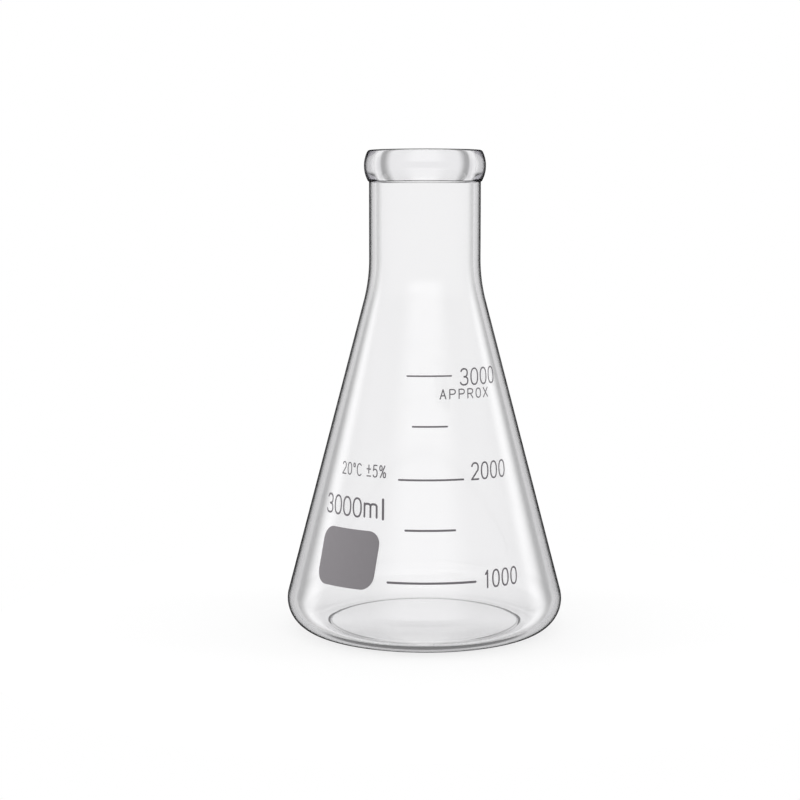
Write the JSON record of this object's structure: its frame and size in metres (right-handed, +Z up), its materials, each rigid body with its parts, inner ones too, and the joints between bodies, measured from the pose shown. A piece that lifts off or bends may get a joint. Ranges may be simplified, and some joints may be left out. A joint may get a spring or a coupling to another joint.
{
  "type": "erlenmeyer flask",
  "caption": "Conical borosilicate laboratory flask with a straight neck, a thick beaded rim, a rounded heel and a raised base, for mixing, heating and holding liquids.",
  "frame": {"origin": "the middle of the flat ring that the flask stands on, at bench level", "axes": "+Z runs up the flask's axis and out of its mouth; X and Y are alike, and the printed scale faces -Y"},
  "size_m": [0.185, 0.185, 0.32],
  "materials": {
    "glass": "clear blown borosilicate glass, fire-polished",
    "print_enamel": "grey ceramic enamel print, fired on to the glass"
  },
  "bodies": {
    "root": {"flask": "glass"}
  },
  "joints": []
}
